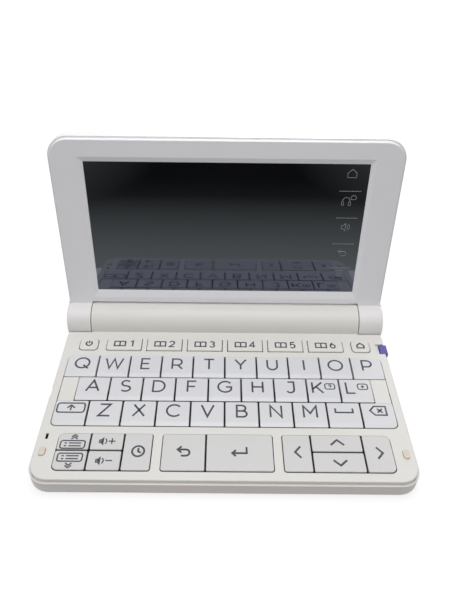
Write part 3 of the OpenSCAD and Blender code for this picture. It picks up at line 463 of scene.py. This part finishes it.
def printMarks(name, marks, width, ink, place, body):
    # Draws the marks flat, turns them into a plain mesh and moves the mesh to its place
    sketch = bpy.data.objects.new(name + "_sketch", strokeMesh(name, marks))
    bpy.context.scene.collection.objects.link(sketch)
    modifier = sketch.modifiers.new("ink", "NODES")
    modifier.node_group = inkRibbon
    sockets = {item.name: item.identifier for item in inkRibbon.interface.items_tree
               if item.in_out == "INPUT"}
    modifier[sockets["Stroke Width"]] = width * mm
    modifier[sockets["Ink Thickness"]] = inkThickness * mm
    modifier[sockets["Ink"]] = ink
    ready = sketch.evaluated_get(bpy.context.evaluated_depsgraph_get())
    mesh = bpy.data.meshes.new_from_object(ready)
    mesh.transform(place)
    piece = bpy.data.objects.new(name, mesh)
    bpy.context.scene.collection.objects.link(piece)
    bpy.data.objects.remove(sketch)
    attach(piece, body)


keyInk = padPrint("greyPadPrint", "#3f404a", "#4a4b55")
# A capital's height, the share of the key's depth from its rear to the letter's middle, and the stroke
keyPrint = {"capHeight": 5.8, "rearShare": 0.385, "stroke": 0.8}
cornerPrint = {"letterShift": -2.4, "right": 2.9, "fromRear": 4.0, "size": 3.0, "stroke": 0.5}
cornerSigns = {"k": "boxedQuery", "l": "boxedPlus"}  # beside these letters, which make room for them
keySigns = {  # stroke width, then sign, right of the key's middle, behind its middle, size
    "key_power": (0.7, [("power", 0, 0.5, 2.9)]),
    "key_home": (0.7, [("home", 0, 0.5, 3.1)]),
    "key_shift": (0.65, [("boxedArrow", 0, 2.4, 4.7)]),
    "key_space": (0.75, [("spaceBar", 0, 2.2, 4.2)]),
    "key_delete": (0.7, [("rubOut", 0, 2.2, 4.4)]),
    "key_previous": (0.55, [("chevronsUp", 0.06, 1.96, 2.4), ("boxedList", -0.17, -1.53, 3.5)]),
    "key_next": (0.55, [("boxedList", -0.08, 1.18, 3.5), ("chevronsDown", -0.05, -2.34, 2.4)]),
    "key_volume_up": (0.5, [("horn", -1.53, 0.03, 3.0), ("plus", 1.9, 0.1, 2.7)]),
    "key_volume_down": (0.5, [("horn", -1.51, -0.25, 3.0), ("minus", 1.91, -0.12, 2.6)]),
    "key_history": (0.75, [("clock", 0.38, 0.11, 4.6)]),
    "key_back": (0.8, [("back", 0.05, 0.35, 4.6)]),
    "key_enter": (0.8, [("enter", -0.13, 0.29, 4.6)]),
    "key_left": (0.8, [("left", 0.26, 0.31, 5.1)]),
    "key_right": (0.8, [("right", 0.4, 0.2, 5.1)]),
    "key_up": (0.8, [("up", 0.27, 0.36, 5.2)]),
    "key_down": (0.8, [("down", 0.33, -0.27, 5.2)]),
}


def keyTop(node):  # the place of ink on the middle of a key's top
    low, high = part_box(node)
    middle = (low + high) / 2 / mm
    return placeAt(middle.x, middle.y, high.z / mm + inkThickness / 2)


def printLetters():
    for letter in letters:
        node = "key_" + letter
        place = keyTop(node)
        low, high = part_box(node)
        halfDepth = (high.y - low.y) / 2 / mm
        shift = cornerPrint["letterShift"] if letter in cornerSigns else 0
        marks = [(letter, shift, halfDepth - 2 * halfDepth * keyPrint["rearShare"], keyPrint["capHeight"])]
        printMarks("ink_" + letter, marks, keyPrint["stroke"], keyInk, place, node)
        if letter in cornerSigns:
            marks = [(cornerSigns[letter], cornerPrint["right"], halfDepth - cornerPrint["fromRear"],
                      cornerPrint["size"])]
            printMarks("ink_corner_" + letter, marks, cornerPrint["stroke"], keyInk, place, node)


def printSigns():
    for node, (width, marks) in keySigns.items():
        printMarks("ink_" + node.removeprefix("key_"), marks, width, keyInk, keyTop(node), node)


def printShortcuts():
    # Each of the six keys of the rear row has a book and its number
    row = {"count": 6, "keyWidth": 15.7, "bookRight": -2.0, "numberRight": 3.4, "behind": 0.4, "size": 3.5,
           "stroke": 0.65}
    low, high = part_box("shortcut_keys")
    middle = (low + high) / 2 / mm
    firstMiddle = low.x / mm + row["keyWidth"] / 2
    step = ((high.x - low.x) / mm - row["keyWidth"]) / (row["count"] - 1)
    marks = []
    for i in range(row["count"]):
        for sign, right in (("book", row["bookRight"]), (str(i + 1), row["numberRight"])):
            marks.append((sign, firstMiddle + i * step + right, middle.y + row["behind"], row["size"]))
    place = placeAt(0, 0, high.z / mm + inkThickness / 2)
    printMarks("ink_shortcuts", marks, row["stroke"], keyInk, place, "shortcut_keys")


def printScreen():
    # On the lid the first number runs along the hinge, the second away from it and the third out of the
    # lid's face, from the hinge's middle; the glass lies glassDepth behind that.
    screen = {"column": 52.3, "icon": 4.6, "dividerWidth": 9.4, "stroke": 0.24, "glassDepth": 1.3,
              "ink": "#8f9392", "paleInk": "#7c807f", "dividers": [65.4, 53.1, 40.6, 28.4]}
    icons = [("home", 73.2, 0.82), ("headphones", 61.2, 0.85), ("speaker", 48.8, 0.85),
             ("back", 36.3, 0.8), ("menu", 25.6, 0.66)]  # sign, distance from the hinge, size
    marks = [(sign, screen["column"], away, screen["icon"] * scale) for sign, away, scale in icons]
    marks += [("divider", screen["column"], away, screen["dividerWidth"]) for away in screen["dividers"]]
    openAngle = -joints["lid_hinge"]["range_deg"][0]
    lidPlace = (Matrix.Translation(Vector(joints["lid_hinge"]["pos_m"]))
                @ Matrix.Rotation(math.radians(-openAngle), 4, "X") @ Matrix.Rotation(math.pi, 4, "X"))
    glassFace = lidPlace @ placeAt(0, 0, inkThickness / 2 - screen["glassDepth"])
    screenInk = padPrint("greyScreenPrint", screen["ink"], screen["paleInk"])
    printMarks("ink_screen", marks, screen["stroke"], screenInk, glassFace, "lid")


printLetters()
printSigns()
printShortcuts()
print("keys printed")
printScreen()
print("screen printed")


# Floor, light and camera

def flatSheet(name, corners, faces, material):
    mesh = bpy.data.meshes.new(name)
    mesh.from_pydata(corners, [], faces)
    mesh.materials.append(material)
    sheet = bpy.data.objects.new(name, mesh)
    bpy.context.scene.collection.objects.link(sheet)
    return sheet


def backgroundShare(tree):  # 1 for what the camera sees, directly or mirrored in glass and metal, else 0
    rays = addNode(tree, "ShaderNodeLightPath").outputs
    seen = addNode(tree, "ShaderNodeMath", {0: rays["Is Camera Ray"], 1: rays["Is Glossy Ray"]},
                   operation="MAXIMUM")
    return addNode(tree, "ShaderNodeMath", {0: seen.outputs["Value"], 1: rays["Is Transmission Ray"]},
                   operation="MAXIMUM").outputs["Value"]


def paleFloor():
    # The camera sees a white floor that keeps the shadow; the object is lit by a plain grey one. It lies
    # a hair below the feet, so that the two faces don't flicker through each other, and fades into the
    # white sky with distance.
    floor = {"size": 6.0, "drop": -0.05, "glow": 0.78, "whiteShare": 0.26, "greyShare": 0.32,
             "fadeFrom": 0.25, "fadeTo": 1.2}
    material, tree, place = newMaterial("paleFloor")
    share = backgroundShare(tree)
    level = addNode(tree, "ShaderNodeMapRange", {"Value": share, "To Min": floor["greyShare"],
                                                 "To Max": floor["whiteShare"]})
    matt = addNode(tree, "ShaderNodeBsdfDiffuse", {"Color": level.outputs["Result"]})
    away = addNode(tree, "ShaderNodeVectorMath", {0: place}, operation="LENGTH")
    faded = addNode(tree, "ShaderNodeMapRange", {
        "Value": away.outputs["Value"], "From Min": floor["fadeFrom"], "From Max": floor["fadeTo"],
        "To Min": floor["glow"]})
    glow = addNode(tree, "ShaderNodeMath", {0: share, 1: faded.outputs["Result"]}, operation="MULTIPLY")
    lit = addNode(tree, "ShaderNodeEmission", {"Color": linear("#ffffff"),
                                               "Strength": glow.outputs["Value"]})
    both = addNode(tree, "ShaderNodeAddShader", {0: matt.outputs["BSDF"], 1: lit.outputs["Emission"]})
    addNode(tree, "ShaderNodeOutputMaterial", {"Surface": both.outputs["Shader"]})
    far, low = floor["size"], floor["drop"] * mm
    corners = [(-far, -far, low), (far, -far, low), (far, far, low), (-far, far, low)]
    flatSheet("floor", corners, [(0, 1, 2, 3)], material)


def reflectionCard():
    # A painted reflection for the screen: a glowing grey sheet that lies before the object, darkens with
    # distance and then rises. Only mirrored rays see it.
    card = {"near": -0.058, "bend": -0.45, "far": -0.7, "height": 0.6, "half": 0.8, "lift": 0.0005,
            "tone": "#fdffe9", "sideFrom": 0.08, "sideTo": 0.2, "sideLevel": 0.2}
    fall = [(-0.7, 0.01), (-0.34, 0.012), (-0.26, 0.04), (-0.2, 0.2), (-0.148, 0.34), (-0.08, 0.53),
            (-0.058, 0.57)]  # place along the card, and how bright it is there
    first, last = fall[0][0], fall[-1][0]
    material, tree, place = newMaterial("reflectionCard")
    at = addNode(tree, "ShaderNodeSeparateXYZ", {"Vector": place}).outputs
    along = addNode(tree, "ShaderNodeMapRange", {"Value": at["Y"], "From Min": first, "From Max": last})
    ramp = addNode(tree, "ShaderNodeValToRGB", {"Fac": along.outputs["Result"]})
    points = ramp.color_ramp.elements
    while len(points) < len(fall):
        points.new(0.5)
    for point, (y, level) in zip(points, fall):
        point.position = (y - first) / (last - first)
        point.color = (level, level, level, 1)
    aside = addNode(tree, "ShaderNodeMath", {0: at["X"]}, operation="ABSOLUTE")
    sides = addNode(tree, "ShaderNodeMapRange", {
        "Value": aside.outputs["Value"], "From Min": card["sideFrom"], "From Max": card["sideTo"],
        "To Max": card["sideLevel"]})
    shine = addNode(tree, "ShaderNodeMath", {0: ramp.outputs["Color"], 1: sides.outputs["Result"]},
                    operation="MAXIMUM")
    # The sheet glows with the ramp's brightness, and so paints the reflection on the screen
    lit = addNode(tree, "ShaderNodeEmission", {"Color": linear(card["tone"]),
                                               "Strength": shine.outputs["Value"]})
    addNode(tree, "ShaderNodeOutputMaterial", {"Surface": lit.outputs["Emission"]})
    rows = [(card["near"], card["lift"]), (card["bend"], card["lift"]), (card["far"], card["height"])]
    corners = [(x, y, z) for y, z in rows for x in (-card["half"], card["half"])]
    sheet = flatSheet("reflectionCard", corners, [(0, 1, 3, 2), (2, 3, 5, 4)], material)
    sheet.visible_camera = sheet.visible_diffuse = sheet.visible_shadow = False
    sheet.visible_transmission = sheet.visible_volume_scatter = False


def softStudio():
    studio = {"skyLevel": 0.47, "lamps": {  # place in metres, size, power in watts
        "ceilingPanel": ((0.1, -0.3, 1.2), 1.0, 3.3),
        "nearPanel": ((0.0, 0.05, 0.38), 0.22, 0.53),
        "sidePanel": ((-1.0, -0.4, 0.9), 0.9, 1.6),
        "backPanel": ((0.3, 1.1, 0.25), 0.6, 4.8)}}
    world = bpy.data.worlds.new("softStudio")
    world.use_nodes = True
    tree = world.node_tree
    tree.nodes.clear()
    level = addNode(tree, "ShaderNodeMapRange", {"Value": backgroundShare(tree),
                                                 "To Min": studio["skyLevel"]})
    sky = addNode(tree, "ShaderNodeBackground", {"Color": linear("#ffffff"),
                                                 "Strength": level.outputs["Result"]})
    addNode(tree, "ShaderNodeOutputWorld", {"Surface": sky.outputs["Background"]})
    bpy.context.scene.world = world
    for name, (spot, size, power) in studio["lamps"].items():
        lamp = bpy.data.lights.new(name, "AREA")
        lamp.size = size
        lamp.energy = power
        holder = bpy.data.objects.new(name, lamp)
        holder.location = spot
        holder.rotation_euler = (-Vector(spot)).to_track_quat("-Z", "Y").to_euler()
        holder.visible_camera = False
        bpy.context.scene.collection.objects.link(holder)


def photoCamera():
    # Stands where the photograph was taken from, in millimetres and degrees
    view = {"place": (-1.373, -168.359, 196.598), "down": 40.95, "yaw": 0.35, "roll": -0.793,
            "focalPixels": 569.6, "frameHeight": 600, "sensorMm": 36, "clipStart": 0.01}
    down, yaw, roll = (math.radians(view[name]) for name in ("down", "yaw", "roll"))
    forward = Vector((math.sin(yaw) * math.cos(down), math.cos(yaw) * math.cos(down), -math.sin(down)))
    right = Vector((math.cos(yaw), -math.sin(yaw), 0))
    lower = forward.cross(right)
    across = math.cos(roll) * right + math.sin(roll) * lower
    below = math.cos(roll) * lower - math.sin(roll) * right
    lens = bpy.data.cameras.new("photoCamera")
    lens.sensor_width = view["sensorMm"]
    lens.lens = view["focalPixels"] * view["sensorMm"] / view["frameHeight"]
    lens.clip_start = view["clipStart"]
    camera = bpy.data.objects.new("photoCamera", lens)
    turn = Matrix((across, -below, -forward)).transposed().to_4x4()
    camera.matrix_world = Matrix.Translation(Vector(view["place"]) * mm) @ turn
    bpy.context.scene.collection.objects.link(camera)
    bpy.context.scene.camera = camera


paleFloor()
reflectionCard()
softStudio()
photoCamera()
bpy.context.scene.view_settings.view_transform = "Standard"
print("stage set")
